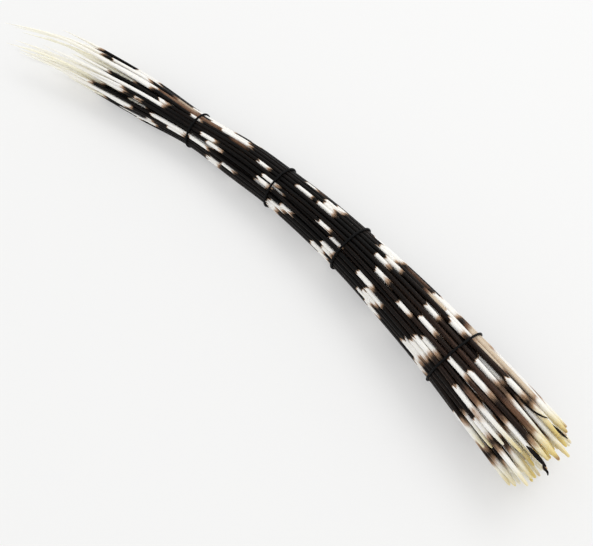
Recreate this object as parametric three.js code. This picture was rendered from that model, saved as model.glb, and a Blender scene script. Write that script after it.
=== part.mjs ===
// A bundle of long porcupine quills, all lying the same way, held by four thin elastic ties.
// Millimetres, +Z up. The bundle lies on its ties, with +X from the tips towards the root ends
// and +Y towards the outside of its bend.

import * as THREE from 'three';

// Driving dimensions of the bundle, in mm. "Along" is measured on its curved middle line,
// from the lowest root end towards the tips.
const BUNDLE_LENGTH = 409;
const STRAIGHT_LENGTH = 55;
const EASE_LENGTH = 84;
const BEND_RADIUS = 573;
const ARC_END = 267;
const TIP_BEND_RADIUS = 900;
const ROOT_FLARE_DEGREES = 3.5;
const TIP_CURL_DEGREES = 17;
const TIP_CURL_LENGTH = 75;

// Where the bundle is sectioned: how far along, and how wide the quills spread there.
const SECTIONS = [
  { along: 0, spread: 19.4 },
  { along: 36, spread: 19.0 },
  { along: 72, spread: 17.0, tie: 'tie_4' },
  { along: 111, spread: 15.4 },
  { along: 151, spread: 13.5, tie: 'tie_3' },
  { along: 178, spread: 12.8 },
  { along: 205, spread: 12.0, tie: 'tie_2' },
  { along: 235, spread: 11.6 },
  { along: ARC_END, spread: 9.9, tie: 'tie_1' },
  { along: 300, spread: 12.0 },
  { along: 336, spread: 13.2 },
  { along: 370, spread: 12.8 },
  { along: BUNDLE_LENGTH, spread: 11.0 },
];

// Quills: one in the middle and five rings round it. The two outer rings are single solids,
// and the rings inside them, of shorter quills, are one solid. Both ends are staggered. The
// first quills of the outermost ring, which lie on top, have their root ends at the
// distances along listed here by place, and a few have tips listed in the same way.
const RINGS = 5;
const FIRST_SINGLE_RING = 4;
const QUILL_DIAMETER = 2.85;
const GIRTH_VARIATION = 0.08;
const OUTER_REACH = [334, 407];
const INNER_REACH = [150, 250];
const LONG_QUILL_RARITY = 1.4;
const ROOT_ENDS = [3, 18];
const TOP_ROOT_ENDS = [14, 16, 11.5, 12, 10, 13, 8, 5, 7.5, 5, 17, 24.5, 4, 27, 29.5, 7.5, 9];
const SHORT_TIPS = new Map([[1, 360], [15, 317], [16, 308]]);
const NECK_LENGTH = 30;
const NECK_SHARE = 0.4;
const ROOT_ROUNDING = 1.2;
const TAPER_POWER = 0.36;
const TIP_DIAMETER = 0.4;
const QUILL_SIDES = 6;

// How the quills lie: the clear gap between two of them, how far each wanders sideways
// past the end ties and where that starts and is complete, how far it sways round the bundle
// between them, and how stiff it is when it is pushed.
const QUILL_GAP = 0.22;
const ROOT_WANDER = { most: 2.2, start: 92, complete: 12 };
const TIP_WANDER = { most: 4.0, start: 237, complete: 399 };
const SWAY_DEGREES = 9;
const SWAY_LENGTH = 300;
const STIFFNESS = 0.35;
const SETTLING_STEPS = 500;
const PACKING_STEPS = 300;
const CLEARED_SHARES = [0, 0.33, 0.67];

// Ties: round elastic cord.
const TIE_DIAMETER = 1.35;
const TIE_GAP = 0.25;
const TIE_SEGMENTS = 24;
const TIE_SIDES = 6;
const FLOOR_GAP = 0.3;

// Inner solid.
const CORE_SIDES = 12;
const CORE_GAP = 0.3;
const CORE_ROOT_SHARE = 0.6;

const KERATIN_DARK = 0x2b211d;
const KERATIN_PALE = 0xe9e2cf;
const RUBBER_BLACK = 0x101010;

// Repeatable random numbers between 0 and 1.
function makeRandom(seed) {
  let state = seed;
  return () => {
    state = (state * 1664525 + 1013904223) % 4294967296;
    return state / 4294967296;
  };
}

// Smooth step from 0 to 1 as t goes from 0 to 1.
function smooth(t) {
  const clamped = Math.min(Math.max(t, 0), 1);
  return clamped * clamped * (3 - 2 * clamped);
}

// Angle by which the middle line has turned. The root end flares back a little, then comes
// a steadily growing bend over the ease length, an arc to the tip tie, a flatter arc past
// it, and a curl that adds to that over the tips.
function turnAt(along) {
  const bent = along - STRAIGHT_LENGTH;
  if (bent <= 0) return -THREE.MathUtils.degToRad(ROOT_FLARE_DEGREES) * (bent / STRAIGHT_LENGTH) ** 2;
  if (bent < EASE_LENGTH) return (bent * bent) / (2 * EASE_LENGTH * BEND_RADIUS);
  const arc = (Math.min(along, ARC_END) - STRAIGHT_LENGTH - EASE_LENGTH / 2) / BEND_RADIUS;
  const flatterArc = Math.max(along - ARC_END, 0) / TIP_BEND_RADIUS;
  const curled = Math.max(along - BUNDLE_LENGTH + TIP_CURL_LENGTH, 0) / TIP_CURL_LENGTH;
  return arc + flatterArc + THREE.MathUtils.degToRad(TIP_CURL_DEGREES) * curled ** 2;
}

// The middle line in plan, as points 1 mm apart, turned so that its chord lies along X.
function middleLine() {
  const points = [new THREE.Vector2(0, 0)];
  for (let along = 0; along < BUNDLE_LENGTH; along += 1) {
    const turn = turnAt(along + 0.5);
    const last = points[points.length - 1];
    points.push(new THREE.Vector2(last.x - Math.cos(turn), last.y - Math.sin(turn)));
  }
  const end = points[points.length - 1];
  const chordTurn = Math.atan2(-end.y, -end.x);
  for (const point of points) point.rotateAround(new THREE.Vector2(0, 0), -chordTurn);
  return { points, chordTurn };
}

const MIDDLE = middleLine();

// Height of the middle line: level with the root tie before it and with the tip tie after
// it, and from tie to tie between them, so that every tie touches the surface below.
const TIED = SECTIONS.filter((section) => section.tie);

function tieHeight(section) {
  return section.spread + TIE_GAP + TIE_DIAMETER;
}

function heightAt(along) {
  if (along <= TIED[0].along) return tieHeight(TIED[0]);
  for (let i = 1; i < TIED.length; i += 1) {
    const from = TIED[i - 1];
    const to = TIED[i];
    if (along <= to.along) {
      const share = (along - from.along) / (to.along - from.along);
      return THREE.MathUtils.lerp(tieHeight(from), tieHeight(to), share);
    }
  }
  return tieHeight(TIED[TIED.length - 1]);
}

// Section frame: its middle point, and the level direction towards the outside of the bend.
function frameAt(along) {
  const index = Math.min(Math.floor(along), BUNDLE_LENGTH - 1);
  const from = MIDDLE.points[index];
  const to = MIDDLE.points[index + 1];
  const share = along - index;
  const middle = new THREE.Vector3(
    THREE.MathUtils.lerp(from.x, to.x, share),
    THREE.MathUtils.lerp(from.y, to.y, share),
    heightAt(along),
  );
  const turn = turnAt(along) - MIDDLE.chordTurn;
  const outward = new THREE.Vector3(-Math.sin(turn), Math.cos(turn), 0);
  return { middle, outward };
}

// A point of a section, from its level and upright distances to the middle line.
function placeAt(along, level, upright) {
  const { middle, outward } = frameAt(along);
  return middle.clone().addScaledVector(outward, level).add(new THREE.Vector3(0, 0, upright));
}

// Radius of a quill at a distance from its root end: a thin neck that swells over its
// length, then a long taper to the tip.
function quillRadius(quill, fromRoot) {
  const share = Math.min(Math.max(fromRoot / quill.length, 0), 1);
  const neck = NECK_SHARE + (1 - NECK_SHARE) * smooth(fromRoot / NECK_LENGTH);
  const taper = (1 - share) ** TAPER_POWER;
  return Math.max((QUILL_DIAMETER / 2) * quill.girth * neck * taper, TIP_DIAMETER / 2);
}

// The quills, ring by ring from the middle, each with its place in the ring, its ends and
// its girth. Each wanders sideways from its place towards its ends by its own amount.
function makeQuills() {
  const random = makeRandom(7);
  const quills = [];
  for (let ring = 0; ring <= RINGS; ring += 1) {
    const count = Math.max(1, 6 * ring);
    const outermost = ring === RINGS;
    const [shortest, longest] = ring < FIRST_SINGLE_RING ? INNER_REACH : OUTER_REACH;
    for (let i = 0; i < count; i += 1) {
      const anyRoot = THREE.MathUtils.lerp(...ROOT_ENDS, random());
      const anyReach = THREE.MathUtils.lerp(shortest, longest, random() ** LONG_QUILL_RARITY);
      const root = (outermost && TOP_ROOT_ENDS[i]) || anyRoot;
      const reach = (outermost && SHORT_TIPS.get(i)) || anyReach;
      const wanderTurn = 2 * Math.PI * random();
      quills.push({
        ring,
        angle: (2 * Math.PI * (i + 0.5)) / count,
        root,
        reach,
        length: reach - root,
        girth: 1 + GIRTH_VARIATION * (2 * random() - 1),
        wanderX: Math.cos(wanderTurn) * random(),
        wanderY: Math.sin(wanderTurn) * random(),
        swayStart: random(),
        sway: THREE.MathUtils.degToRad(SWAY_DEGREES) * random(),
      });
    }
  }
  return quills;
}

// How much of a wander has come in at a distance along.
function pullOf(wander, along) {
  return wander.most * smooth((along - wander.start) / (wander.complete - wander.start));
}

// Where a quill would lie in a section if nothing pushed it: its ring's place, with the
// rings evenly spaced over the spread, plus its own wander past the first and last ties.
function homeOf(quill, section) {
  const distance = (section.spread * quill.ring) / (RINGS + 0.5);
  const pull = pullOf(TIP_WANDER, section.along) - pullOf(ROOT_WANDER, section.along);
  const wave = Math.sin(2 * Math.PI * (section.along / SWAY_LENGTH + quill.swayStart));
  const angle = quill.angle + quill.sway * wave;
  return {
    x: Math.cos(angle) * distance + quill.wanderX * pull,
    y: Math.sin(angle) * distance + quill.wanderY * pull,
  };
}

// Moves two quills apart along the line between them until they are clear, at a share of the
// way from one section to the next. Each quill's nearer section moves more.
function pushApart(lineA, lineB, j, share) {
  const next = share > 0 ? j + 1 : j;
  const near = 1 - share;
  const dx = near * (lineB[j].x - lineA[j].x) + share * (lineB[next].x - lineA[next].x);
  const dy = near * (lineB[j].y - lineA[j].y) + share * (lineB[next].y - lineA[next].y);
  const bothHere = lineA[j].radius + lineB[j].radius;
  const bothNext = lineA[next].radius + lineB[next].radius;
  const clear = near * bothHere + share * bothNext + QUILL_GAP;
  const distanceSquared = dx * dx + dy * dy;
  if (distanceSquared >= clear * clear || distanceSquared === 0) return;
  const distance = Math.sqrt(distanceSquared);
  const push = (0.5 * (clear - distance)) / distance;
  for (const [spot, weight] of [[lineA[j], -near], [lineA[next], -share]]) {
    spot.x += dx * push * weight;
    spot.y += dy * push * weight;
  }
  for (const [spot, weight] of [[lineB[j], near], [lineB[next], share]]) {
    spot.x += dx * push * weight;
    spot.y += dy * push * weight;
  }
}

// Keeps a quill inside its section's spread and above the surface below.
function keepInside(spot, section) {
  const distance = Math.hypot(spot.x, spot.y);
  const farthest = section.spread - spot.radius;
  if (distance > farthest) {
    spot.x *= farthest / distance;
    spot.y *= farthest / distance;
  }
  const lowest = FLOOR_GAP - heightAt(section.along) + spot.radius;
  spot.y = Math.max(spot.y, lowest);
}

// Lets the quills settle. In each step a quill springs back towards a smooth line, then
// touching quills push each other apart and the ties hold them in. The last steps only
// push and hold, so that no two quills are left overlapping.
function settle(quills) {
  const spots = quills.map((quill) => SECTIONS.map((section) => ({
    ...homeOf(quill, section),
    home: homeOf(quill, section),
    radius: quillRadius(quill, section.along - quill.root),
  })));
  for (let step = 0; step < SETTLING_STEPS + PACKING_STEPS; step += 1) {
    if (step < SETTLING_STEPS) spots.forEach(straighten);
    SECTIONS.forEach((section, j) => {
      const shares = j + 1 < SECTIONS.length ? CLEARED_SHARES : [0];
      for (let a = 0; a < spots.length; a += 1) {
        for (let b = a + 1; b < spots.length; b += 1) {
          for (const share of shares) pushApart(spots[a], spots[b], j, share);
        }
      }
      for (const spot of spots) keepInside(spot[j], section);
    });
  }
  return spots;
}

// Eases each spot's shift from home towards the mean of its two neighbours' shifts.
function straighten(line) {
  for (let j = 1; j < line.length - 1; j += 1) {
    const spot = line[j];
    for (const axis of ['x', 'y']) {
      const before = line[j - 1][axis] - line[j - 1].home[axis];
      const after = line[j + 1][axis] - line[j + 1].home[axis];
      const shift = spot[axis] - spot.home[axis];
      spot[axis] += STIFFNESS * ((before + after) / 2 - shift);
    }
  }
}

// A closed solid through rings of points, with an end point at each end. The rings run
// round the same way, seen from the first end.
function skinRings(rings, firstEnd, lastEnd) {
  const sides = rings[0].length;
  const positions = rings.flat().concat([firstEnd, lastEnd]);
  const firstIndex = positions.length - 2;
  const lastIndex = positions.length - 1;
  const index = [];
  for (let i = 0; i < sides; i += 1) {
    const next = (i + 1) % sides;
    index.push(firstIndex, i, next);
    for (let j = 0; j + 1 < rings.length; j += 1) {
      const low = j * sides;
      const high = low + sides;
      index.push(low + i, high + next, low + next);
      index.push(low + i, high + i, high + next);
    }
    const top = (rings.length - 1) * sides;
    index.push(lastIndex, top + next, top + i);
  }
  return geometryFrom(positions, index);
}

function geometryFrom(points, index) {
  const geometry = new THREE.BufferGeometry();
  const flat = points.flatMap((point) => point.toArray());
  geometry.setAttribute('position', new THREE.Float32BufferAttribute(flat, 3));
  geometry.setIndex(index);
  geometry.computeVertexNormals();
  return geometry;
}

// Ring of points round a spot of a section. It runs from upright towards the outside, which
// turns the faces outwards when the rings go from the root end to the tip.
function ringAt(along, spot, radius, sides) {
  const ring = [];
  for (let i = 0; i < sides; i += 1) {
    const angle = (2 * Math.PI * i) / sides;
    const level = spot.x + radius * Math.cos(angle);
    const upright = spot.y + radius * Math.sin(angle);
    ring.push(placeAt(along, level, upright));
  }
  return ring;
}

// A quill's place in the bundle at any distance along, between its settled spots.
function spotAt(line, along) {
  let j = 0;
  while (j < SECTIONS.length - 2 && SECTIONS[j + 1].along < along) j += 1;
  const from = SECTIONS[j].along;
  const share = (along - from) / (SECTIONS[j + 1].along - from);
  return {
    x: THREE.MathUtils.lerp(line[j].x, line[j + 1].x, share),
    y: THREE.MathUtils.lerp(line[j].y, line[j + 1].y, share),
  };
}

// One quill: a six-sided spindle with a rounded root and a fine tip.
function quillGeometry(quill, line) {
  const stops = [quill.root + ROOT_ROUNDING];
  for (const { along } of SECTIONS) {
    const insideRoot = along > quill.root + 4 * ROOT_ROUNDING;
    const insideTip = along < quill.reach - 4 * ROOT_ROUNDING;
    if (insideRoot && insideTip) stops.push(along);
  }
  const rings = stops.map((along) => {
    const radius = quillRadius(quill, along - quill.root);
    return ringAt(along, spotAt(line, along), radius, QUILL_SIDES);
  });
  const ends = [quill.root, quill.reach].map((along) => {
    const spot = spotAt(line, along);
    return placeAt(along, spot.x, spot.y);
  });
  return skinRings(rings, ends[0], ends[1]);
}

// The quills inside the two outer rings, as one spindle that fills the space they leave
// and reaches to the longest one's tip.
function coreGeometry(quills, spots) {
  const [, reach] = INNER_REACH;
  const clearRadii = SECTIONS.map((section, j) => {
    const around = quills.map((quill, i) => {
      const { x, y, radius } = spots[i][j];
      return quill.ring < FIRST_SINGLE_RING ? Infinity : Math.hypot(x, y) - radius;
    });
    return Math.min(...around) - CORE_GAP;
  });
  const [root] = ROOT_ENDS;
  const middle = { x: 0, y: 0 };
  const firstRadius = CORE_ROOT_SHARE * clearRadii[0];
  const rings = [ringAt(root + ROOT_ROUNDING, middle, firstRadius, CORE_SIDES)];
  SECTIONS.forEach(({ along }, j) => {
    if (j === 0 || along >= reach) return;
    rings.push(ringAt(along, middle, clearRadii[j], CORE_SIDES));
  });
  return skinRings(rings, placeAt(root, 0, 0), placeAt(reach, 0, 0));
}

// One tie: a closed ring of six-sided cord round the bundle. A flat of the ring lies on the
// surface below.
function tieGeometry(section) {
  const inner = section.spread + TIE_GAP;
  const cordRadius = TIE_DIAMETER / 2;
  const cordMiddle = inner + cordRadius;
  const half = Math.PI / TIE_SEGMENTS;
  const { middle, outward } = frameAt(section.along);
  const lengthwise = new THREE.Vector3(0, 0, 1).cross(outward);
  const points = [];
  for (let i = 0; i < TIE_SEGMENTS; i += 1) {
    const around = 2 * half * (i + 0.5);
    const spoke = outward.clone().multiplyScalar(Math.cos(around));
    spoke.z = Math.sin(around);
    for (let k = 0; k < TIE_SIDES; k += 1) {
      const turn = (2 * Math.PI * (k + 0.5)) / TIE_SIDES + Math.PI / 2;
      const flat = Math.cos(Math.PI / TIE_SIDES);
      const reach = (cordMiddle + (cordRadius / flat) * Math.sin(turn)) / Math.cos(half);
      const point = middle.clone().addScaledVector(spoke, reach);
      points.push(point.addScaledVector(lengthwise, (cordRadius / flat) * Math.cos(turn)));
    }
  }
  const index = [];
  for (let i = 0; i < TIE_SEGMENTS; i += 1) {
    for (let k = 0; k < TIE_SIDES; k += 1) {
      const next = (k + 1) % TIE_SIDES;
      const here = i * TIE_SIDES;
      const there = ((i + 1) % TIE_SEGMENTS) * TIE_SIDES;
      index.push(here + k, there + k, there + next);
      index.push(here + k, there + next, here + next);
    }
  }
  return geometryFrom(points, index);
}

function solid(name, geometry, color, roughness) {
  const material = new THREE.MeshStandardMaterial({ color, roughness, metalness: 0 });
  const mesh = new THREE.Mesh(geometry, material);
  mesh.name = name;
  return mesh;
}

// The single quills are numbered from the outside of the bend over the top and round, the
// outermost ring first.
function buildBundle() {
  const bundle = new THREE.Group();
  const quills = makeQuills();
  const spots = settle(quills);
  let number = 0;
  for (let ring = RINGS; ring >= FIRST_SINGLE_RING; ring -= 1) {
    quills.forEach((quill, i) => {
      if (quill.ring !== ring) return;
      number += 1;
      const name = `quill_${String(number).padStart(2, '0')}`;
      bundle.add(solid(name, quillGeometry(quill, spots[i]), KERATIN_DARK, 0.35));
    });
  }
  bundle.add(solid('inner_quills', coreGeometry(quills, spots), KERATIN_PALE, 0.4));
  for (const section of TIED) {
    bundle.add(solid(section.tie, tieGeometry(section), RUBBER_BLACK, 0.6));
  }
  return bundle;
}

// Origin: the middle of the footprint, on the surface that the bundle lies on.
function standOnOrigin(bundle) {
  const box = new THREE.Box3().setFromObject(bundle);
  const centre = box.getCenter(new THREE.Vector3());
  bundle.position.set(-centre.x, -centre.y, -box.min.z);
  return bundle;
}

export default standOnOrigin(buildBundle());
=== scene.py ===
"""A curved bundle of long banded porcupine quills, held by four elastic ties, on a pale surface."""

import bpy
import numpy as np
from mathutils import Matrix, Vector


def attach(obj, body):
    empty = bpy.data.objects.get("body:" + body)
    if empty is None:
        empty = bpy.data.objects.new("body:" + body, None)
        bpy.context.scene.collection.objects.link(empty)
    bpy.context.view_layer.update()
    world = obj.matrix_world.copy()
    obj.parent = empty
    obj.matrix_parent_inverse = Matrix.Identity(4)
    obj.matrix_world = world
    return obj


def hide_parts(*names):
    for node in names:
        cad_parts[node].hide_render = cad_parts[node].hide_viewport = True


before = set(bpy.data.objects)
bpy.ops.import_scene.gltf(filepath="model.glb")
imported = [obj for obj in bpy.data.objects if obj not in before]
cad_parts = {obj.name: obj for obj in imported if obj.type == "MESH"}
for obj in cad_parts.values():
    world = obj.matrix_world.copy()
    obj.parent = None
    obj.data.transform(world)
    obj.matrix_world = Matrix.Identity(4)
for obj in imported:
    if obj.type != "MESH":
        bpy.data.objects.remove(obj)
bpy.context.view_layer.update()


# ---- The line that the bundle follows --------------------------------------------------------
# The quills lie side by side along one curved middle line. Each packed quill is a stack of
# rings of corners, cut square to that line at the same sections, between a root point and a
# tip point, so the middle line and every quill's own route are read from those rings.

MM = 0.001
UP = np.array([0.0, 0.0, 1.0])
OUTER_COUNT = 54
PACKED_SIDES = 6
LINE_STEP = 1.0 * MM

# How far the middle line runs on before the first ring and past the last.
FIRST_SECTION = 36 * MM
LAST_STRETCH = 39 * MM


def read_packed(node):
    """A packed quill's root point, its rings of corners and its tip point. Its separate
    corners, sorted by falling X, come in that order. The first ring only rounds the root, so
    the rings after it are one for each section that the quill passes."""
    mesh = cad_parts[node].data
    corners = np.empty(len(mesh.vertices) * 3, np.float32)
    mesh.vertices.foreach_get("co", corners)
    corners = np.unique(np.round(corners.reshape(-1, 3), 6), axis=0).astype(float)
    corners = corners[np.argsort(-corners[:, 0])]
    rings = corners[1:-1].reshape(-1, PACKED_SIDES, 3)[1:]
    return {"root": corners[0], "rings": rings, "tip": corners[-1], "middles": rings.mean(axis=1)}


def unit(vectors):
    """Vectors of length 1 in the same directions."""
    return vectors / np.linalg.norm(vectors, axis=-1, keepdims=True)


def smooth_through(knots, points, at):
    """Natural cubic spline through points at the given knots, read at other places: on each
    stretch the second derivative runs straight from one knot's value to the next, and those
    values are the ones that make the slope continuous."""
    gap = np.diff(knots)
    inner = np.arange(1, len(knots) - 1)
    system = np.eye(len(knots))
    system[inner, inner - 1] = gap[:-1]
    system[inner, inner] = 2 * (gap[:-1] + gap[1:])
    system[inner, inner + 1] = gap[1:]
    slope = np.diff(points, axis=0) / gap[:, None]
    wanted = np.zeros_like(points)
    wanted[1:-1] = 6 * np.diff(slope, axis=0)
    bend = np.linalg.solve(system, wanted)
    k = np.clip(np.searchsorted(knots, at) - 1, 0, len(knots) - 2)
    left = ((at - knots[k]) / gap[k])[:, None]
    right = 1 - left
    square = (gap[k] ** 2 / 6)[:, None]
    straight = right * points[k] + left * points[k + 1]
    return straight + square * ((right**3 - right) * bend[k] + (left**3 - left) * bend[k + 1])


def lengths_along(points):
    """Distance travelled along a chain of points, from 0 at the first."""
    return np.concatenate([[0.0], np.cumsum(np.linalg.norm(np.diff(points, axis=0), axis=1))])


packed = {n: read_packed(f"quill_{n:02d}") for n in range(1, OUTER_COUNT + 1)}
first_middles = np.array([quill["middles"][0] for quill in packed.values()])
roots = np.array([quill["root"] for quill in packed.values()])
section_points = [(first_middles + FIRST_SECTION * unit(roots - first_middles)).mean(axis=0)]
most_rings = max(len(quill["middles"]) for quill in packed.values())
for k in range(most_rings):
    passing = [quill["middles"][k] for quill in packed.values() if len(quill["middles"]) > k]
    section_points.append(np.mean(passing, axis=0))
longest = [quill for quill in packed.values() if len(quill["middles"]) == most_rings]
tip_headings = unit(np.array([quill["tip"] - quill["middles"][-1] for quill in longest]))
section_points.append(section_points[-1] + LAST_STRETCH * unit(tip_headings.mean(axis=0)))
section_points = np.array(section_points)
section_along = lengths_along(section_points)
bundle_length = section_along[-1]
along_line = np.arange(0.0, bundle_length, LINE_STEP)
middle_line = smooth_through(section_along, section_points, along_line)
outward = unit(np.cross(np.gradient(middle_line, axis=0), UP))


def place_in_bundle(points):
    """How far along the middle line each point lies, and how far it stands from it level and
    upright: the nearest point of the line in plan, then the offset along its two directions."""
    gaps = points[:, None, :2] - middle_line[None, :, :2]
    nearest = np.argmin((gaps**2).sum(axis=2), axis=1)
    offset = points - middle_line[nearest]
    level = (offset * outward[nearest]).sum(axis=1)
    return along_line[nearest], level, offset[:, 2]


def point_in_bundle(along, level, upright):
    """The point at a distance along the middle line, moved out level and upright."""
    middle = np.stack([np.interp(along, along_line, middle_line[:, i]) for i in range(3)], axis=-1)
    out = np.stack([np.interp(along, along_line, outward[:, i]) for i in range(3)], axis=-1)
    return middle + out * level[..., None] + UP * upright[..., None]


# ---- Quills ----------------------------------------------------------------------------------
# Each quill is one foam-filled spine of keratin, round in section, that grew: a thin root, a
# thick shaft and a long taper to a hair-fine tip. It is held only by the ties.

QUILL_DIAMETER = 2.85 * MM
TAPER_POWER = 0.36
TIP_RADIUS = 0.12 * MM
FINE_TIP_LENGTH = 26 * MM
FINE_TIP_SHARE = 0.6
FULL_TIP_FROM = 0.62
FULL_TIP_BY = 0.80
FULL_TIP_GAIN = 0.28
NAIL_SHARE = 0.60
TOUCHING = 1.02
ROUND_SIDES = 14
RING_STEP = 3.5 * MM
ROOT_BEND_LENGTH = 34 * MM
TIP_BEND_LENGTH = 60 * MM
LOWEST_MIDDLE = 1.7 * MM
BEIGE_EDGE = 8.0
GRAIN_UNIT = 10 * MM
SEED_SPACING = 97

# The rings of a quill stand at shares of its rounded end's length from the root, then evenly
# spaced, then at set distances from the tip.
ROOT_STOPS = np.array([0, 0.08, 0.25, 0.5, 0.9, 1.5])
FIRST_EVEN_STOP = 2.4
LAST_EVEN_STOP = 8 * MM
TIP_STOPS = np.array([6, 3.5, 1.6, 0.5, 0]) * MM


def smooth_step(t):
    """0 below 0, 1 above 1, and 3t squared minus 2t cubed between."""
    t = np.clip(t, 0.0, 1.0)
    return t * t * (3 - 2 * t)


def quill_radius(from_root, length, girth, neck, tip_gain=FULL_TIP_GAIN):
    """Radius at a distance from the root end. The shaft thins as a power of the share of the
    length that is left, a little less so where the tip begins, and again over the fine tip.
    The root swells from a thin nail to a neck and from that to the full shaft, each by a
    smooth step, and its very end is rounded as a quarter of an ellipse."""
    share, neck_length, nail_length, round_length = neck
    travelled = np.clip(from_root / length, 0.0, 1.0)
    swelling = share + (1 - share) * smooth_step(from_root / neck_length)
    swelling = swelling * (NAIL_SHARE + (1 - NAIL_SHARE) * smooth_step(from_root / nail_length))
    rounded = np.sqrt(1 - np.clip(1 - from_root / round_length, 0.0, 1.0) ** 2)
    fine = smooth_step((length - from_root) / FINE_TIP_LENGTH)
    fine = FINE_TIP_SHARE + (1 - FINE_TIP_SHARE) * fine
    full = 1 + tip_gain * smooth_step((travelled - FULL_TIP_FROM) / (FULL_TIP_BY - FULL_TIP_FROM))
    thinning = fine * full * (1 - travelled) ** TAPER_POWER
    radius = 0.5 * QUILL_DIAMETER * TOUCHING * girth * swelling * thinning
    return np.maximum(radius, TIP_RADIUS) * rounded


def smooth_mesh(name, points, faces):
    """A mesh of the points and faces, shaded smooth."""
    mesh = bpy.data.meshes.new(name)
    mesh.from_pydata(points.tolist(), [], faces)
    mesh.polygons.foreach_set("use_smooth", np.ones(len(mesh.polygons), bool))
    return mesh


def tube_mesh(name, line, radius, flatness=1.0):
    """Closed tube: at each point of the line a ring of the given radius, in the plane square
    to the line, with one point closing each end. The rings are round, or as high as the
    flatness times their width."""
    heading = unit(np.gradient(line, axis=0))
    side = unit(np.cross(heading, UP))
    over = flatness * np.cross(side, heading)
    turn = np.linspace(0, 2 * np.pi, ROUND_SIDES, endpoint=False)
    beside = np.cos(turn)[None, :, None] * side[:, None]
    above = np.sin(turn)[None, :, None] * over[:, None]
    rings = line[1:-1, None] + radius[1:-1, None, None] * (beside + above)[1:-1]
    count = len(rings)
    points = np.vstack([rings.reshape(-1, 3), line[:1], line[-1:]])
    i = np.arange(ROUND_SIDES)
    after = (i + 1) % ROUND_SIDES
    j = np.arange(count - 1)[:, None] * ROUND_SIDES
    walls = np.stack([j + i, j + ROUND_SIDES + i, j + ROUND_SIDES + after, j + after], axis=-1)
    first = np.stack([np.full_like(i, count * ROUND_SIDES), i, after], axis=-1)
    top = (count - 1) * ROUND_SIDES
    last = np.stack([np.full_like(i, count * ROUND_SIDES + 1), top + after, top + i], axis=-1)
    faces = walls.reshape(-1, 4).tolist() + first.tolist() + last.tolist()
    return smooth_mesh(name, points, faces), turn


def set_attribute(mesh, name, values):
    """Stores one value, or one triple, for each corner point of the mesh."""
    triple = np.ndim(values) == 2
    attribute = mesh.attributes.new(name, "FLOAT_VECTOR" if triple else "FLOAT", "POINT")
    key = "vector" if triple else "value"
    attribute.data.foreach_set(key, np.ascontiguousarray(values, np.float32).ravel())


def on_points(per_ring):
    """A value for each ring, repeated round the ring, with the end rings' own for the ends."""
    around = np.repeat(per_ring[1:-1], ROUND_SIDES, axis=0)
    return np.concatenate([around, per_ring[:1], per_ring[-1:]])


def white_depth(along, whites):
    """How far inside a white band each place is, in the bands' own unit, negative in the dark
    between them: the largest, over the bands, of the smaller distance to a band's two edges.
    With it comes how soft the nearest edge is: 0 for one that faces the tip, 1 for one that
    faces the root, and 1 for both edges of the first band, which is the root's own."""
    root_edges, tip_edges = np.array(whites).T
    past_root_edge = along[:, None] - root_edges[None]
    short_of_tip_edge = tip_edges[None] - along[:, None]
    depths = np.minimum(past_root_edge, short_of_tip_edge)
    best = depths.argmax(axis=1)
    row = np.arange(len(along))
    rootward = past_root_edge[row, best] <= short_of_tip_edge[row, best]
    return depths[row, best], np.maximum(rootward, best == 0).astype(float)


def bent(line, travelled, root_bend, tip_bend):
    """The line with its two ends drawn aside: each end's stretch moves along its own vector,
    by the square of how far into the stretch a point is."""
    into_root = np.clip(1 - travelled / ROOT_BEND_LENGTH, 0.0, 1.0) ** 2
    into_tip = np.clip(1 - (travelled[-1] - travelled) / TIP_BEND_LENGTH, 0.0, 1.0) ** 2
    return line + into_root[:, None] * root_bend + into_tip[:, None] * tip_bend


def beige_stretches(along, stretches):
    """How beige the dark is at each place: the most of the stretches' own strengths, each
    eased in and out over the beige edge at its two ends."""
    beige = np.zeros(len(along))
    for root_end, tip_end, strength in stretches:
        eased_in = smooth_step((along - root_end) / BEIGE_EDGE)
        eased_out = smooth_step((tip_end - along) / BEIGE_EDGE)
        beige = np.maximum(beige, strength * (eased_in * eased_out))
    return beige


def new_piece(name, mesh, material):
    """An object of the mesh with its finish, at the origin."""
    mesh.materials.append(material)
    piece = bpy.data.objects.new(name, mesh)
    bpy.context.collection.objects.link(piece)
    return piece


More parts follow.
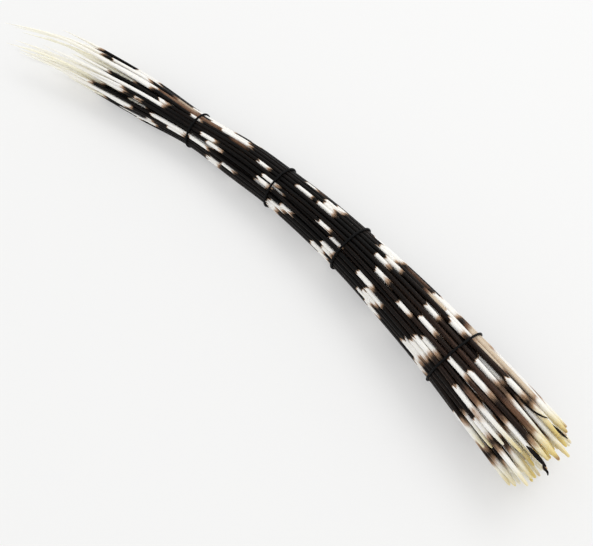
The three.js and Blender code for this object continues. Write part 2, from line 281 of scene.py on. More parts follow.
def make_quill(name, line, look):
    """One quill as a mesh along its line, from root to tip, with what its finish needs on its
    corner points: how deep in a white band they are and how soft its edge is, how far they
    are from the root and along the bundle in mm, the quill's own beige, brown and amber, how
    much painted warm glow it takes, a pale yellow that stands for light through stacked
    translucent tips, and where they are in the grain, which is the direction round the shaft
    and the distance along it."""
    travelled = lengths_along(line)
    length = travelled[-1]
    round_length = look["neck"][3]
    even_stops = np.arange(FIRST_EVEN_STOP * round_length, length - LAST_EVEN_STOP, RING_STEP)
    stops = np.concatenate([ROOT_STOPS * round_length, even_stops, length - TIP_STOPS])
    fine = bent(smooth_through(travelled, line, stops), stops, look["root_bend"], look["tip_bend"])
    fine[:, 2] = np.maximum(fine[:, 2], LOWEST_MIDDLE)
    radius = quill_radius(stops, length, look["girth"], look["neck"], look["tip_gain"])
    mesh, turn = tube_mesh(name, fine, radius)
    along = place_in_bundle(fine)[0] / MM
    depth, softness = white_depth(along, look["whites"])
    on_rings = {
        "white_depth": depth,
        "softness": softness,
        "beige": beige_stretches(along, look["beige"]),
        "from_root": stops / MM,
        "painted_glow": np.full(len(stops), look["painted_glow"]),
        "along": along,
        "brown": np.full(len(stops), look["brown"]),
        "amber": np.full(len(stops), look["amber"]),
    }
    for key, values in on_rings.items():
        set_attribute(mesh, key, on_points(values))
    grain = np.empty((len(stops) - 2, ROUND_SIDES, 3))
    grain[..., 0] = np.cos(turn)
    grain[..., 1] = np.sin(turn)
    grain[..., 2] = stops[1:-1, None] / GRAIN_UNIT + SEED_SPACING * look["seed"]
    poles = np.array([[0, 0, grain[0, 0, 2]], [0, 0, grain[-1, 0, 2]]])
    set_attribute(mesh, "grain", np.vstack([grain.reshape(-1, 3), poles]))
    piece = new_piece(name, mesh, keratin)
    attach(piece, "root")
    return piece


# The finish of keratin: glossy and finely grooved, white with bands of near-black pigment. A
# white band ends sharply towards the tip and fades through brown towards the root. The root
# is translucent, cream to amber, and the tip is the colour of pale straw.

BLACK = (0.0020, 0.0018, 0.0016, 1)
DARK_BROWN = (0.0165, 0.0095, 0.0065, 1)
WARM_BROWN = (0.060, 0.030, 0.019, 1)
RUST = (0.170, 0.092, 0.055, 1)
TAN = (0.40, 0.26, 0.165, 1)
BEIGE = (0.66, 0.55, 0.42, 1)
WHITE = (0.90, 0.88, 0.835, 1)
# The tips' own pale yellow, and also a painted warm glow on the next ring's quills, for light
# through their stacked translucent tips.
STRAW_AND_GLOW = (0.97, 0.915, 0.73, 1)
CREAM = (0.95, 0.93, 0.82, 1)
AMBER = (0.80, 0.65, 0.26, 1)
NAIL_BROWN = (0.42, 0.26, 0.14, 1)
NO_TINT = (1, 1, 1, 1)

# The grain's noise: its scale round the quill and lengthwise, and its detail.
BLOTCHES = (0.8, 1.6, 2.0)
STREAKS = (3.2, 0.22, 3.0)
HAIRLINES = (10.0, 0.10, 2.0)

# How far the grain moves or shades each thing, lengths in mm.
BAND_SLANT = 8.0
BAND_RAGGEDNESS = 1.5
BROWN_STREAKS = 1.9
BEIGE_STREAKS = 0.35
STRAW_BLOTCHES = 60.0
ROOT_BLOTCHES = 7.0
SHADE_STREAKS = 0.30
SHADE_HAIRLINES = 0.35
ROUGHNESS_STREAKS = 0.16
ROUGHNESS = 0.36

# Where each change begins and where it is complete: of the depth in a white band and of
# places, in mm, and of shares.
SHARP_EDGE = (-1.0, 1.0)
SOFT_EDGE = (-3.6, 2.6)
ROOTWARD = (150.0, 20.0)
ROOTWARD_FADE = (1.0, 1.8)
DARK_BROWN_SHARES = (-0.05, 0.45)
WARM_BROWN_SHARES = (0.40, 1.10)
RUST_SHARES = (0.10, 0.50)
BEIGE_SHARES = (0.45, 1.0)
TAN_SHARES = (0.0, 0.55)
WHITE_SHARES = (0.40, 1.0)
# Where the next ring's painted warm glow begins and is full: pale yellow standing for light through
# their stacked translucent tips.
PAINTED_GLOW_PLACES = (285.0, 330.0)
TIP_STRAW = (318.0, 392.0)
TIP_STRAW_SHARES = (0.0, 0.6)
AMBER_REACH = 20.0
LEAST_REACH = 4.0
CREAM_REACHES = (1.5, 0.4)
YELLOW_REACHES = (0.9, 0.0)
YELLOW_AMBERS = (0.0, 0.7)
NAIL_BROWNS = (0.35, 1.0)
NAIL_PLACES = (3.5, 0.3)


def fill_inputs(tree, node, inputs):
    """Fills or links a node's inputs by name or number."""
    for key, value in inputs.items():
        if isinstance(value, bpy.types.NodeSocket):
            tree.links.new(value, node.inputs[key])
        else:
            node.inputs[key].default_value = value


def add_node(tree, kind, inputs=None, **settings):
    """Adds a shader node, sets its settings, and fills its inputs."""
    made = tree.nodes.new("ShaderNode" + kind)
    for key, value in settings.items():
        setattr(made, key, value)
    fill_inputs(tree, made, inputs or {})
    return made


def calculate(tree, operation, *values):
    """One arithmetic step on sockets or numbers."""
    return add_node(tree, "Math", dict(enumerate(values)), operation=operation).outputs[0]


def from_to(tree, value, low, high, start=0.0, end=1.0):
    """The value's place between low and high, eased at both and held past them."""
    inputs = {0: value, 1: low, 2: high, 3: start, 4: end}
    return add_node(tree, "MapRange", inputs, interpolation_type="SMOOTHSTEP").outputs[0]


def attribute_of(tree, name, output="Fac"):
    """What the mesh stores under the name, at the place that is shaded."""
    return add_node(tree, "Attribute", attribute_name=name).outputs[output]


def blend_colours(tree, share, first, second, blend="MIX"):
    """The first colour with a share of the second mixed in, or multiplied by it."""
    inputs = {0: share, 6: first, 7: second}
    return add_node(tree, "Mix", inputs, data_type="RGBA", blend_type=blend).outputs[2]


def new_material(name):
    """A material, its nodes and its shader."""
    material = bpy.data.materials.new(name)
    material.use_nodes = True
    tree = material.node_tree
    return material, tree, tree.nodes["Principled BSDF"]


def grain_noise(tree, grain, around, lengthwise, detail):
    """Noise about 0, stretched along the quill, with its scale round it and lengthwise."""
    inputs = {0: grain, 1: (around, around, lengthwise)}
    scaled = add_node(tree, "VectorMath", inputs, operation="MULTIPLY").outputs[0]
    noise = add_node(tree, "TexNoise", {"Vector": scaled, "Scale": 1.0, "Detail": detail})
    return calculate(tree, "SUBTRACT", noise.outputs["Fac"], 0.5)


def keratin_material():
    """Banded keratin, in four steps: how white each place is, with the bands' edges slanted
    and ragged by the grain, the colours of the dark and of the pale that this share blends,
    with a painted warm glow of pale yellow on the next ring's quills for light through their
    stacked tips, a tint at the root that multiplies them, and fine lines of shade."""
    material, tree, shader = new_material("banded_keratin")
    grain = attribute_of(tree, "grain", "Vector")
    blotch = grain_noise(tree, grain, *BLOTCHES)
    streak = grain_noise(tree, grain, *STREAKS)
    hairline = grain_noise(tree, grain, *HAIRLINES)
    from_root = attribute_of(tree, "from_root")
    along = attribute_of(tree, "along")
    brown = attribute_of(tree, "brown")
    amber = attribute_of(tree, "amber")

    slanted = calculate(tree, "MULTIPLY_ADD", blotch, BAND_SLANT, attribute_of(tree, "white_depth"))
    depth = calculate(tree, "MULTIPLY_ADD", streak, BAND_RAGGEDNESS, slanted)
    sharp = from_to(tree, depth, *SHARP_EDGE)
    fade = from_to(tree, along, *ROOTWARD, *ROOTWARD_FADE)
    soft = from_to(tree, calculate(tree, "DIVIDE", depth, fade), *SOFT_EDGE)
    edges = {0: attribute_of(tree, "softness"), 2: sharp, 3: soft}
    white_share = add_node(tree, "Mix", edges).outputs[0]

    own_brown = calculate(tree, "MULTIPLY", brown, from_to(tree, along, *ROOTWARD))
    uneven = calculate(tree, "MULTIPLY_ADD", streak, BROWN_STREAKS, own_brown)
    dark = blend_colours(tree, from_to(tree, uneven, *DARK_BROWN_SHARES), BLACK, DARK_BROWN)
    dark = blend_colours(tree, from_to(tree, uneven, *WARM_BROWN_SHARES), dark, WARM_BROWN)
    beige = calculate(tree, "MULTIPLY_ADD", streak, BEIGE_STREAKS, attribute_of(tree, "beige"))
    dark = blend_colours(tree, from_to(tree, beige, *RUST_SHARES), dark, RUST)
    dark = blend_colours(tree, from_to(tree, beige, *BEIGE_SHARES), dark, BEIGE)
    fading = blend_colours(tree, from_to(tree, white_share, *TAN_SHARES), dark, TAN)
    blotched = calculate(tree, "MULTIPLY_ADD", blotch, STRAW_BLOTCHES, along)
    # Painted warm glow: the next ring's quills turn pale yellow from further down, for light
    # through the stacked translucent tips; the tip's own pale yellow comes after.
    painted_glow_share = from_to(tree, blotched, *PAINTED_GLOW_PLACES)
    painted_glow_share = calculate(tree, "MULTIPLY", attribute_of(tree, "painted_glow"), painted_glow_share)
    tip_straw = from_to(tree, blotched, *TIP_STRAW, *TIP_STRAW_SHARES)
    pale = blend_colours(tree, calculate(tree, "MAXIMUM", painted_glow_share, tip_straw), WHITE, STRAW_AND_GLOW)
    colour = blend_colours(tree, from_to(tree, white_share, *WHITE_SHARES), fading, pale)

    reach = calculate(tree, "MULTIPLY_ADD", amber, AMBER_REACH, LEAST_REACH)
    spread = calculate(tree, "MULTIPLY_ADD", blotch, ROOT_BLOTCHES, from_root)
    rooted = calculate(tree, "DIVIDE", spread, reach)
    root_tint = blend_colours(tree, from_to(tree, rooted, *CREAM_REACHES), NO_TINT, CREAM)
    yellow = from_to(tree, rooted, *YELLOW_REACHES)
    yellow = calculate(tree, "MULTIPLY", yellow, from_to(tree, amber, *YELLOW_AMBERS))
    root_tint = blend_colours(tree, yellow, root_tint, AMBER)
    browned = from_to(tree, brown, *NAIL_BROWNS)
    browned = calculate(tree, "MULTIPLY", browned, from_to(tree, from_root, *NAIL_PLACES))
    root_tint = blend_colours(tree, browned, root_tint, NAIL_BROWN)
    colour = blend_colours(tree, 1.0, colour, root_tint, "MULTIPLY")

    shade = calculate(tree, "MULTIPLY_ADD", streak, SHADE_STREAKS, 1.0)
    lines = calculate(tree, "MULTIPLY_ADD", hairline, SHADE_HAIRLINES, shade)
    grey = add_node(tree, "CombineColor", {0: lines, 1: lines, 2: lines}).outputs[0]
    grooves = add_node(tree, "Bump", {"Strength": 0.5, "Distance": 0.00015, "Height": hairline})
    fill_inputs(tree, shader, {
        "Base Color": blend_colours(tree, 1.0, colour, grey, "MULTIPLY"),
        "Roughness": calculate(tree, "MULTIPLY_ADD", streak, ROUGHNESS_STREAKS, ROUGHNESS),
        "IOR": 1.5,
        "Specular IOR Level": 0.09,
        "Subsurface Weight": 0.6,
        "Subsurface Radius": (1.0, 1.0, 0.95),
        "Subsurface Scale": 1.2 * MM,
        "Normal": grooves.outputs[0],
    })
    return material


keratin = keratin_material()


# ---- Outer quills ----------------------------------------------------------------------------
# The thirty quills of the outermost ring and the twenty-four of the next, each of one piece of
# keratin from root to tip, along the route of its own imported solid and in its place. Those on
# top, 2 to 18 of the outermost ring and 31 to 43 of the next, have bands of their own.

# The root edge and the tip edge of each white band, in mm along the bundle. The last one has
# no tip edge, because it runs on to the quill's tip.
TOP_WHITES = {
    2: [(60, 72), (114, 122), (176, 186), (303, 313), (352, None)],
    3: [(86, 98), (125, 146), (228, 235), (258, 272), (304, 320), (347, None)],
    4: [(86, 101), (125, 139), (165, 171), (187, 194), (245, 275), (300, 321), (335, None)],
    5: [(72, 90), (127, 139), (167, 177), (233, 261), (307, 334), (341, None)],
    6: [(37, 47), (77, 85), (121, 131), (169, 177), (231, 250), (299, 332), (341, None)],
    7: [(49, 62), (90, 98), (127, 135), (167, 179), (184, 194), (266, 272), (302, None)],
    8: [(214, 221), (288, 293), (330, None)],
    9: [(47, 59), (85, 95), (121, 129), (289, None)],
    10: [(59, 71), (101, 109), (163, 171), (203, 213), (249, 259), (317, None)],
    11: [(77, 87), (153, 161), (197, 206), (250, 260), (286, 292), (331, None)],
    12: [(45, 59), (79, 90), (124, 136), (207, 215), (245, 254), (302, 307), (315, None)],
    13: [
        (33, 42), (79, 90), (115, 126), (153, 162), (186, 195), (252, 266), (269, 292), (338, None)
    ],
    14: [(81, 93), (117, 126), (154, 160), (192, 202), (230, 240), (271, 281), (308, None)],
    15: [(81, 94), (119, 131), (159, 168), (197, 204), (243, 250), (292, 297), (311, None)],
    16: [(30, 50), (75, 84), (113, 124), (157, 168), (197, 204), (243, 252), (290, None)],
    17: [(33, 51), (77, 83), (113, 123), (155, 163), (197, 203), (243, 251), (303, None)],
    18: [(60, 74), (110, 122), (160, 172), (210, 222), (250, 258), (293, 305), (338, None)],
    31: [(330, None)],
    32: [(348, None)],
    33: [(330, None)],
    34: [(335, None)],
    35: [(48, 64), (90, 100), (298, None)],
    36: [(280, 287), (313, None)],
    37: [(48, 60), (80, 97), (198, 208), (288, 296), (342, None)],
    38: [(58, 68), (119, 130), (160, 178), (330, None)],
    39: [(50, 58), (318, None)],
    40: [(30, 46), (80, 88), (150, 158), (209, 217), (250, 267), (299, 310), (332, None)],
    41: [(338, None)],
    42: [(338, None)],
    43: [(312, None)],
}

# Where the white of each root ends, in mm along the bundle.
TOP_ROOT_WHITES = {
    2: 30, 3: 62, 4: 32, 5: 29, 6: 29, 7: 38, 8: 20, 9: 17, 10: 31,
    11: 44, 12: 41, 13: 23, 14: 46, 15: 43, 16: 21, 17: 21, 18: 14,
    31: 30, 32: 22, 33: 30, 34: 26, 35: 33, 36: 8, 37: 26,
    38: 16, 39: 28, 40: 20, 41: 8, 42: 17, 43: 17,
}

# Stretches whose dark is rusty or beige: their two ends in mm along the bundle, and how much.
TOP_BEIGE = {
    3: [(44, 84, 0.9)],
    4: [(24, 82, 0.95), (100, 126, 0.3), (174, 196, 0.3)],
    5: [(46, 108, 0.9), (264, 292, 0.75)],
    6: [(246, 302, 0.5), (279, 292, 0.65)],
    7: [(226, 248, 0.4)],
    8: [(16, 44, 0.4)],
    11: [(38, 60, 0.4)],
}

# How brown the dark is towards the root, and how yellow the root is, where not the usual.
USUAL_BROWN = 0.25
USUAL_AMBER = 0.1
TOP_BROWN = {3: 0.7, 4: 0.7, 5: 0.3, 6: 0.5, 7: 0.6, 8: 1.0, 9: 0.5, 10: 0.9, 11: 0.4, 12: 0.5}
TOP_AMBER = {
    2: 0.9, 3: 0.15, 4: 0.6, 5: 0.4, 6: 0.9, 7: 0.8, 8: 0.9, 9: 0.5, 10: 0.1, 11: 0.5,
    13: 0.3, 14: 0.4, 15: 0.3, 16: 0.3, 17: 0.35, 18: 0.45,
    31: 0.9, 32: 0.9, 33: 0.9, 34: 0.7, 35: 0.5, 37: 0.5, 38: 0.8, 39: 0.7, 40: 0.4,
}
TOP_TIP_GAIN = 0.42
OUTERMOST_COUNT = 30
# How strong the painted warm glow is on the next ring's quills, standing for light through their
# stacked translucent tips.
NEXT_RING_PAINTED_GLOW = 0.75
PAST_END = 60.0

# Bands drawn at random: the least and the most of each length, and of where the pale tip
# begins, in mm. Past the middle of the bundle the white ones may be wider.
ROOT_WHITE = (6, 26)
ROOT_DARK = (4.5, 12.6)
FIRST_WHITE = (6.6, 13.2)
DARK_BAND = (20.4, 51)
WHITE_BAND = (7.7, 14.3)
PALE_FROM = (305, 345)
WIDER_PAST = 230
MOST_WIDENING = 0.8
LEAST_LAST_DARK = 18
LEAST_PALE_TIP = 10
random = np.random.default_rng(seed=11)


def grown_whites(root_along, tip_along):
    """White bands in mm along the bundle: the root, a short dark, then white and dark in turn,
    each of a length drawn at random between its least and its most, up to the pale tip."""
    at = root_along + random.uniform(*ROOT_WHITE)
    whites = [(root_along - PAST_END, at)]
    at += random.uniform(*ROOT_DARK)
    whites.append((at, at + random.uniform(*FIRST_WHITE)))
    at = whites[-1][1]
    pale_from = min(random.uniform(*PALE_FROM), tip_along - LEAST_PALE_TIP)
    while True:
        at += random.uniform(*DARK_BAND)
        white = random.uniform(*WHITE_BAND)
        white *= 1 + MOST_WIDENING * (at > WIDER_PAST) * random.uniform()
        if at + white > pale_from - LEAST_LAST_DARK:
            break
        whites.append((at, at + white))
        at += white
    whites.append((pale_from, tip_along + PAST_END))
    return whites


def chosen_whites(number, root_along, tip_along):
    """The bands of a quill on top: its root's, those listed, and its pale tip."""
    past_tip = tip_along + PAST_END
    listed = [(low, past_tip if high is None else high) for low, high in TOP_WHITES[number]]
    return [(root_along - PAST_END, TOP_ROOT_WHITES[number])] + listed


# A root: its share of the full thickness, and the lengths over which it swells, its nail
# swells and its end is rounded. First a plain one, then the least and the most of each.
PLAIN_ROOT = (0.7, 40 * MM, 10 * MM, 1 * MM)
NECK_SHARES = (0.72, 0.90)
NECK_LENGTHS_MM = (30, 50)
NAIL_LENGTHS_MM = (5, 10)
ROUND_LENGTHS_MM = (0.9, 1.8)
MOST_ROOT_BEND = 1.6 * MM
MOST_TIP_BEND = 3.0 * MM
MOST_BROWN = 0.8


def any_direction(most):
    """A vector of at most the given length, in a random direction across the bundle."""
    turn = random.uniform(0, 2 * np.pi)
    size = most * random.uniform()
    return np.array([0.0, size * np.cos(turn), size * np.sin(turn)])


def any_look():
    """What differs from quill to quill, drawn at random."""
    return {
        "neck": (
            random.uniform(*NECK_SHARES),
            random.uniform(*NECK_LENGTHS_MM) * MM,
            random.uniform(*NAIL_LENGTHS_MM) * MM,
            random.uniform(*ROUND_LENGTHS_MM) * MM,
        ),
        "root_bend": any_direction(MOST_ROOT_BEND),
        "tip_bend": any_direction(MOST_TIP_BEND),
        "tip_gain": FULL_TIP_GAIN,
        "beige": [],
        "painted_glow": 0.0,
        "brown": random.uniform(0.0, MOST_BROWN),
        "amber": random.uniform() ** 2,
        "seed": random.uniform(),
    }


for number, quill in packed.items():
    line = np.vstack([quill["root"], quill["middles"], quill["tip"]])
    root_along, tip_along = place_in_bundle(line[[0, -1]])[0] / MM
    look = any_look()
    # The next ring's quills take the painted warm glow.
    if number > OUTERMOST_COUNT:
        look["painted_glow"] = NEXT_RING_PAINTED_GLOW
    travelled = lengths_along(line)
    usual = quill_radius(travelled[2], travelled[-1], 1.0, PLAIN_ROOT) / TOUCHING
    packed_radius = np.linalg.norm(quill["rings"][1, 0] - quill["middles"][1])
    look["girth"] = packed_radius / usual
    look["whites"] = grown_whites(root_along, tip_along)
    if number in TOP_WHITES:
        look["whites"] = chosen_whites(number, root_along, tip_along)
        look["beige"] = TOP_BEIGE.get(number, [])
        look["brown"] = TOP_BROWN.get(number, USUAL_BROWN)
        look["amber"] = TOP_AMBER.get(number, USUAL_AMBER)
        look["tip_gain"] = TOP_TIP_GAIN
    piece = make_quill(f"round_quill_{number:02d}", line, look)
    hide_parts(f"quill_{number:02d}")


# ---- Inner quills ----------------------------------------------------------------------------
# The thirty-seven shorter quills that fill the middle of the bundle: one along its middle
# line and three rings round it. They are settled between the outer ones, which stay put.

# Each ring has six quills more than the one inside it, and the bundle is five and a half
# rings from its middle to its outside.
INNER_RINGS = 3
ALL_RINGS = 5.5
RING_GROWTH = 6
ANGLE_JITTER = 0.3
INNER_ROOTS = (3, 18)
INNER_REACHES = (150, 250)
INNER_GIRTHS = (0.9, 1.05)
CLEARANCE = 0.04 * MM
SETTLING_STEPS = 260
HOMING = 0.03
STIFFNESS = 0.3
PUSH_SHARE = 0.8
NOT_ZERO = 1e-9

section_across = unit(np.cross(np.gradient(section_points, axis=0), UP))
outer_spots = []
outer_radii = []
for quill in packed.values():
    first = quill["middles"][0] + FIRST_SECTION * unit(quill["root"] - quill["middles"][0])
    chain = np.vstack([first, quill["middles"]])[: len(section_along)]
    spots = np.full((len(section_along), 2), np.nan)
    radii = np.zeros(len(section_along))
    for k, point in enumerate(chain):
        offset = point - section_points[k]
        spots[k] = offset @ section_across[k], offset[2]
        ring = quill["rings"][max(k - 1, 0)]
        radii[k] = TOUCHING * np.linalg.norm(ring - ring.mean(axis=0), axis=1).mean()
    outer_spots.append(spots)
    outer_radii.append(radii)
outer_spots = np.array(outer_spots)
outer_radii = np.array(outer_radii)


def settle_inner(homes, radii, fixed, fixed_radii):
    """Places of the inner quills at each section, across and upright: from its home, each is
    eased towards the mean of its shifts at the sections before and after, and a little back
    home, then touching quills are moved apart along the line between them. Two inner ones
    give way by half each, and an outer one doesn't."""
    spots = homes.copy()
    itself = np.arange(len(spots))
    share = np.concatenate([np.full(len(spots), 0.5), np.full(len(fixed), 1.0)])
    clear = radii[:, None] + np.concatenate([radii, fixed_radii])[None] + CLEARANCE
    for _ in range(SETTLING_STEPS):
        between = (spots[:, :-2] - homes[:, :-2] + spots[:, 2:] - homes[:, 2:]) / 2
        shift = spots[:, 1:-1] - homes[:, 1:-1]
        spots[:, 1:-1] += STIFFNESS * (between - shift) - HOMING * shift
        gaps = spots[:, None] - np.concatenate([spots, fixed])[None]
        distance = np.linalg.norm(gaps, axis=-1) + NOT_ZERO
        push = np.clip(clear - distance, 0.0, None) / distance
        push[itself, itself] = 0.0
        spots += PUSH_SHARE * (push[..., None] * gaps * share[None, :, None, None]).sum(axis=1)
    return spots


passed = int(np.searchsorted(section_along, INNER_REACHES[1] * MM)) + 1
outer_reach = np.linalg.norm(outer_spots, axis=-1) + outer_radii
widths = np.nanmax(outer_reach[:, :passed], axis=0)
inner_ends = []
inner_homes = []
for ring in range(INNER_RINGS + 1):
    count = max(1, RING_GROWTH * ring)
    for i in range(count):
        angle = 2 * np.pi * (i + 0.5 + ANGLE_JITTER * random.uniform(-1, 1)) / count
        distance = widths * ring / ALL_RINGS
        inner_homes.append(distance[:, None] * np.array([np.cos(angle), np.sin(angle)]))
        inner_ends.append((random.uniform(*INNER_ROOTS), random.uniform(*INNER_REACHES)))
inner_homes = np.array(inner_homes)
inner_ends = np.array(inner_ends)
inner_girths = random.uniform(*INNER_GIRTHS, len(inner_ends))
inner_radii = np.array([
    quill_radius(section_along[:passed] - root * MM, (reach - root) * MM, girth, PLAIN_ROOT)
    for (root, reach), girth in zip(inner_ends, inner_girths)
])
fixed_spots = outer_spots[:, :passed]
inner_spots = settle_inner(inner_homes, inner_radii, fixed_spots, outer_radii[:, :passed])

for i, (root, reach) in enumerate(inner_ends):
    stops = np.concatenate([[root * MM], section_along[1 : passed - 1], [reach * MM]])
    stops = stops[(stops >= root * MM) & (stops <= reach * MM)]
    level = np.interp(stops, section_along[:passed], inner_spots[i, :, 0])
    upright = np.interp(stops, section_along[:passed], inner_spots[i, :, 1])
    look = any_look()
    look["girth"] = inner_girths[i]
    look["tip_bend"] = np.zeros(3)
    look["whites"] = grown_whites(root, reach)
    piece = make_quill(f"inner_quill_{i + 1:02d}", point_in_bundle(stops, level, upright), look)
    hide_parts("inner_quills")


# ---- Black slivers ---------------------------------------------------------------------------
# Four thin black slivers on the roots on top, pointed at both ends and curled. Each is a
# line of places, along the bundle, level and upright in mm, with its greatest half width in
# mm and its height as a share of its width.

SLIVERS = {
    "curled_sliver": (
        [(37, 5.2, 15.6), (30, 6.0, 16.3), (26, 6.6, 17.5), (23.6, 7.4, 18.4), (21.6, 8.7, 18.8)],
        0.60,
        0.7,
    ),
    "straight_sliver": (
        [(19.5, 8.6, 16.2), (16.5, 9.4, 15.8), (13, 10.1, 15.3), (9.5, 11.2, 14.3)],
        0.60,
        0.6,
    ),
    "broad_flake": (
        [(18.5, -7.3, 16.9), (14, -7.1, 17.3), (10, -6.9, 17.5), (6, -6.7, 17.4)],
        1.15,
        0.3,
    ),
    "hooked_flake": (
        [(8, -7.0, 17.6), (5.8, -7.9, 17.3), (4.4, -7.7, 17.1), (2.7, -8.5, 16.6)],
        0.65,
        0.5,
    ),
}
SLIVER_STEPS = 24
SLIVER_POINT_SHARE = 0.12
SLIVER_TAPER = 0.6
WRINKLE_SCALE = 1400.0
BROWN_WRINKLES = (0.35, 0.8)


def sliver_material():
    """Black, browner on the crests of the fine noise that wrinkles it."""
    material, tree, shader = new_material("black_sliver")
    place = add_node(tree, "TexCoord").outputs["Object"]
    inputs = {"Vector": place, "Scale": WRINKLE_SCALE, "Detail": 3.0}
    wrinkle = add_node(tree, "TexNoise", inputs).outputs["Fac"]
    browned = from_to(tree, wrinkle, *BROWN_WRINKLES)
    wrinkles = add_node(tree, "Bump", {"Strength": 0.7, "Distance": 0.0002, "Height": wrinkle})
    fill_inputs(tree, shader, {
        "Base Color": blend_colours(tree, browned, BLACK, DARK_BROWN),
        "Roughness": 0.6,
        "Specular IOR Level": 0.1,
        "Normal": wrinkles.outputs[0],
    })
    return material


black_sliver = sliver_material()
for name, (places, half_width, flatness) in SLIVERS.items():
    along, level, upright = np.array(places).T * MM
    route = point_in_bundle(along, level, upright)
    travelled = lengths_along(route)
    t = np.linspace(0.0, 1.0, SLIVER_STEPS)
    line = smooth_through(travelled, route, t * travelled[-1])
    width = SLIVER_POINT_SHARE + (1 - SLIVER_POINT_SHARE) * np.sin(np.pi * t) ** SLIVER_TAPER
    mesh, _ = tube_mesh(name, line, half_width * MM * width, flatness)
    piece = new_piece(name, mesh, black_sliver)
    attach(piece, "root")


# ---- Ties ------------------------------------------------------------------------------------
# Four loops of thin round elastic, a rubber core in a fine black braid, stretched round the
# quills at right angles to them. Each hugs the outermost quills and lies on the surface below.

TIE_DIAMETER = 1.2 * MM
TIE_STEPS = 220
TIE_SIDES = 14
TIE_SECTIONS = {"tie_4": 2, "tie_3": 4, "tie_2": 6, "tie_1": 8}
LOOP_DIRECTIONS = 1440
EASING_STEPS = 6
BRAID_TURNS = 150
BRAID_STRANDS = 4
BRAID_RISE = (-0.4, 1.0)
BRAID_ROUGHNESS = (0.75, 0.5)
ELASTIC_BLACK = (0.0015, 0.0015, 0.0016, 1)
# The braid's crests, a little less black: a painted sheen.
ELASTIC_PAINTED_SHEEN = (0.0055, 0.0055, 0.006, 1)


def hugging_loop(spots, radii):
    """The shortest loop round a set of discs, at a cord's half thickness from them: in each
    direction, the point that far out from the disc that reaches farthest that way. Points
    are then spaced evenly and eased with their neighbours."""
    turn = np.linspace(0, 2 * np.pi, LOOP_DIRECTIONS, endpoint=False)
    out = np.stack([np.cos(turn), np.sin(turn)], axis=-1)
    touching = (spots @ out.T + radii[:, None]).argmax(axis=0)
    loop = spots[touching] + (radii[touching] + TIE_DIAMETER / 2)[:, None] * out
    closed = np.vstack([loop, loop[:1]])
    travelled = lengths_along(closed)
    even = np.linspace(0, travelled[-1], TIE_STEPS, endpoint=False)
    loop = np.stack([np.interp(even, travelled, closed[:, i]) for i in range(2)], axis=-1)
    for _ in range(EASING_STEPS):
        loop = (np.roll(loop, 1, axis=0) + 2 * loop + np.roll(loop, -1, axis=0)) / 4
    return loop


def past_seam(places, firsts):
    """Places on a closed round of length 1, with those that have gone over the seam since the
    first corner of their face moved on by one round."""
    return np.where(places < firsts - 0.5, places + 1, places)


def ring_tube(name, line):
    """Closed ring of round cord: at each point of a closed line a circle in the plane square
    to the line, joined to the next, and the last to the first. The braid's map holds how far
    round the ring and round the cord each corner is."""
    heading = unit(np.roll(line, -1, axis=0) - np.roll(line, 1, axis=0))
    centre = line.mean(axis=0)
    flat = unit(np.cross(heading[0], line[0] - centre))
    out = np.cross(flat, heading)
    turn = np.linspace(0, 2 * np.pi, TIE_SIDES, endpoint=False)
    spokes = np.cos(turn)[None, :, None] * out[:, None] + np.sin(turn)[None, :, None] * flat
    points = (line[:, None] + TIE_DIAMETER / 2 * spokes).reshape(-1, 3)
    j = np.arange(len(line))[:, None]
    i = np.arange(TIE_SIDES)[None]
    here = j * TIE_SIDES
    there = ((j + 1) % len(line)) * TIE_SIDES
    after = (i + 1) % TIE_SIDES
    faces = np.stack([here + i, there + i, there + after, here + after], axis=-1).reshape(-1, 4)
    mesh = smooth_mesh(name, points, faces.tolist())
    corner = np.empty(len(mesh.loops), np.int32)
    mesh.loops.foreach_get("vertex_index", corner)
    first = np.arange(len(corner)) // 4 * 4
    lengthwise = (corner // TIE_SIDES) / len(line)
    around = (corner % TIE_SIDES) / TIE_SIDES
    lengthwise = past_seam(lengthwise, lengthwise[first])
    around = past_seam(around, around[first])
    uv = mesh.uv_layers.new(name="braid")
    uv.data.foreach_set("uv", np.stack([lengthwise, around], axis=-1).astype(np.float32).ravel())
    return mesh


def braid_material():
    """Black braid: the higher of two sine waves that run round the cord in opposite turns,
    smoother on its crests and painted a little less black there, a painted sheen."""
    material, tree, shader = new_material("black_elastic")
    place = add_node(tree, "UVMap", uv_map="braid").outputs[0]
    parts = add_node(tree, "SeparateXYZ", {0: place}).outputs
    lengthwise = calculate(tree, "MULTIPLY", parts[0], 2 * np.pi * BRAID_TURNS)
    around = calculate(tree, "MULTIPLY", parts[1], 2 * np.pi * BRAID_STRANDS)
    one_way = calculate(tree, "SINE", calculate(tree, "ADD", lengthwise, around))
    other_way = calculate(tree, "SINE", calculate(tree, "SUBTRACT", lengthwise, around))
    braid = calculate(tree, "MAXIMUM", one_way, other_way)
    # Painted sheen: the crests are painted a little less black, as well as made smoother.
    painted_sheen_share = from_to(tree, braid, *BRAID_RISE)
    bump = add_node(tree, "Bump", {"Strength": 0.6, "Distance": 0.00012, "Height": braid})
    fill_inputs(tree, shader, {
        "Base Color": blend_colours(tree, painted_sheen_share, ELASTIC_BLACK, ELASTIC_PAINTED_SHEEN),
        "Roughness": from_to(tree, braid, *BRAID_RISE, *BRAID_ROUGHNESS),
        "Specular IOR Level": 0.08,
        "Normal": bump.outputs[0],
    })
    return material


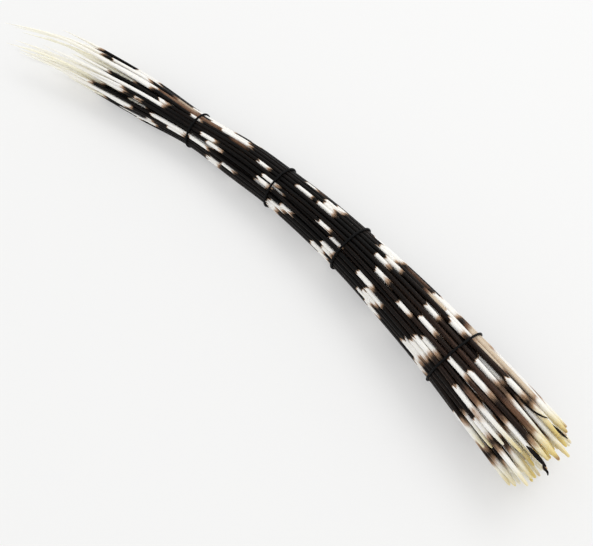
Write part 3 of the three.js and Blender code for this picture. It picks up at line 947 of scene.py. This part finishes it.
black_elastic = braid_material()
for tie, k in TIE_SECTIONS.items():
    here = ~np.isnan(outer_spots[:, k, 0])
    loop = hugging_loop(outer_spots[here, k], outer_radii[here, k])
    middle = section_points[k]
    sag = middle[2] + loop[:, 1].min() - TIE_DIAMETER / 2
    below = np.clip(loop[:, 1] / loop[:, 1].min(), 0.0, 1.0)
    loop[:, 1] -= sag * below**2
    line = middle + loop[:, :1] * section_across[k] + loop[:, 1:] * UP
    name = f"elastic_{tie}"
    piece = new_piece(name, ring_tube(name, line), black_elastic)
    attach(piece, "root")
    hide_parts(tie)


# ---- Floor, light and camera -----------------------------------------------------------------
# A plain white table in a white room, with one large soft lamp behind the bundle, to its
# right, and the camera in front, looking steeply down.

FLOOR_HALF = 3.0
FLOOR_WHITE = (0.56, 0.56, 0.555, 1)
FLOOR_GLOW = 0.32
floor_mesh = bpy.data.meshes.new("floor")
floor_corners = [(-FLOOR_HALF, -FLOOR_HALF, 0), (FLOOR_HALF, -FLOOR_HALF, 0)]
floor_corners += [(FLOOR_HALF, FLOOR_HALF, 0), (-FLOOR_HALF, FLOOR_HALF, 0)]
floor_mesh.from_pydata(floor_corners, [], [(0, 1, 2, 3)])
table_top, table_tree, table_shader = new_material("pale_table")
fill_inputs(table_tree, table_shader, {
    "Base Color": FLOOR_WHITE,
    "Roughness": 0.9,
    "Specular IOR Level": 0.0,
    "Emission Color": (1, 1, 1, 1),
    "Emission Strength": FLOOR_GLOW,
})
floor = new_piece("floor", floor_mesh, table_top)

CAMERA_YAW = np.radians(41.63)
CAMERA_PITCH = np.radians(65.03)
PICTURE_WIDTH_PX = 593
FOCAL_LENGTH_PX = 800.0
CAMERA_AT = np.array([160.4, -148.5, 394.9]) * MM

scene = bpy.context.scene
camera_data = bpy.data.cameras.new("camera")
camera_data.lens = FOCAL_LENGTH_PX * camera_data.sensor_width / PICTURE_WIDTH_PX
camera = bpy.data.objects.new("camera", camera_data)
bpy.context.collection.objects.link(camera)
camera.location = CAMERA_AT
camera.rotation_euler = (np.pi / 2 - CAMERA_PITCH, 0, CAMERA_YAW)
scene.camera = camera

ROOM_STRENGTH = 0.90
LAMP_POWER = 9.5
LAMP_SIZE = 1.1
LAMP_RIGHT = 0.8
LAMP_AHEAD = 0.8
LAMP_HEIGHT = 1.5
room = bpy.data.worlds.new("white_room")
room.use_nodes = True
walls = room.node_tree.nodes["Background"]
fill_inputs(room.node_tree, walls, {"Color": (1, 1, 1, 1), "Strength": ROOM_STRENGTH})
scene.world = room
lamp_data = bpy.data.lights.new("softbox", "AREA")
lamp_data.shape = "DISK"
lamp_data.size = LAMP_SIZE
lamp_data.energy = LAMP_POWER
lamp = bpy.data.objects.new("softbox", lamp_data)
bpy.context.collection.objects.link(lamp)
right = np.array([np.cos(CAMERA_YAW), np.sin(CAMERA_YAW), 0.0])
ahead = np.array([-right[1], right[0], 0.0])
lamp.location = LAMP_RIGHT * right + LAMP_AHEAD * ahead + LAMP_HEIGHT * UP
lamp.rotation_euler = Vector(lamp.location).to_track_quat("Z", "Y").to_euler()
scene.view_settings.view_transform = "Standard"
